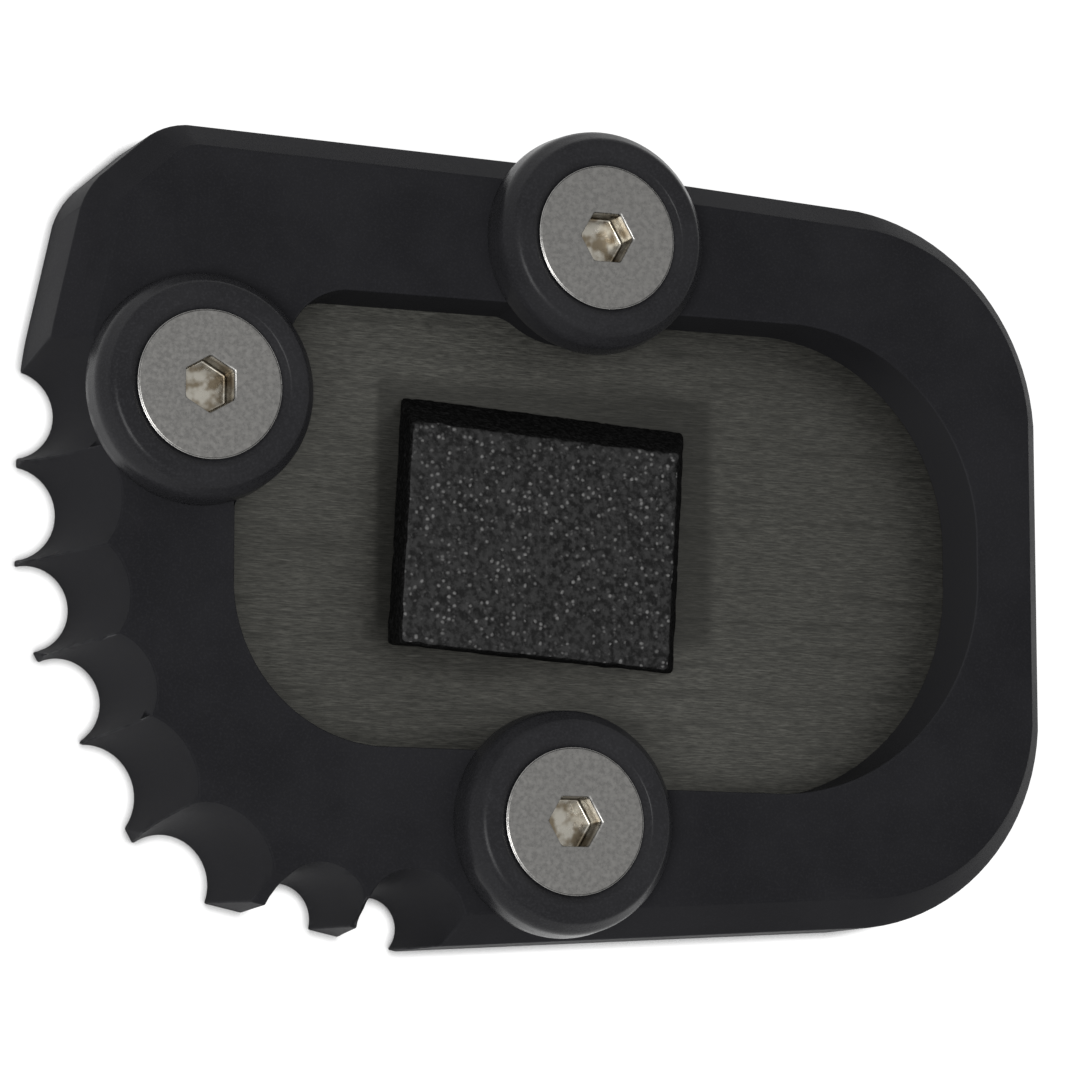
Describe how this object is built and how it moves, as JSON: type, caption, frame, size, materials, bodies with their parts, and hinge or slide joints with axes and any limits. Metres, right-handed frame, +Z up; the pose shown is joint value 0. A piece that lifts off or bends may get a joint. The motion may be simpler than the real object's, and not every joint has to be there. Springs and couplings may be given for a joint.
{
  "type": "side stand foot enlarger",
  "caption": "Black anodised plate with a clawed edge and a pocket with a foam pad for a motorcycle's side stand foot, held by clamp discs with countersunk socket screws.",
  "frame": {"origin": "middle of the bounding box in X and Y, on the plane of the sole", "axes": "+Z up, square to the sole; +X along the plate's length, away from its clawed end; +Y towards the plate's long straight back edge"},
  "size_m": [0.089, 0.0675, 0.0153],
  "materials": {
    "anodised_frame": "satin black anodising",
    "anodised_floor": "satin black anodising over fine milling lines",
    "foam": "matt foam rubber",
    "anodised_disc": "satin black anodising, turned",
    "screw_steel": "matt stainless steel"
  },
  "bodies": {
    "root": {"frame_plate": "anodised_frame", "base_plate": "anodised_floor", "foam_pad": "foam", "clamp_disc_left": "anodised_disc", "clamp_disc_back": "anodised_disc", "clamp_disc_front": "anodised_disc", "screw_left": "screw_steel", "screw_back": "screw_steel", "screw_front": "screw_steel"}
  },
  "joints": []
}
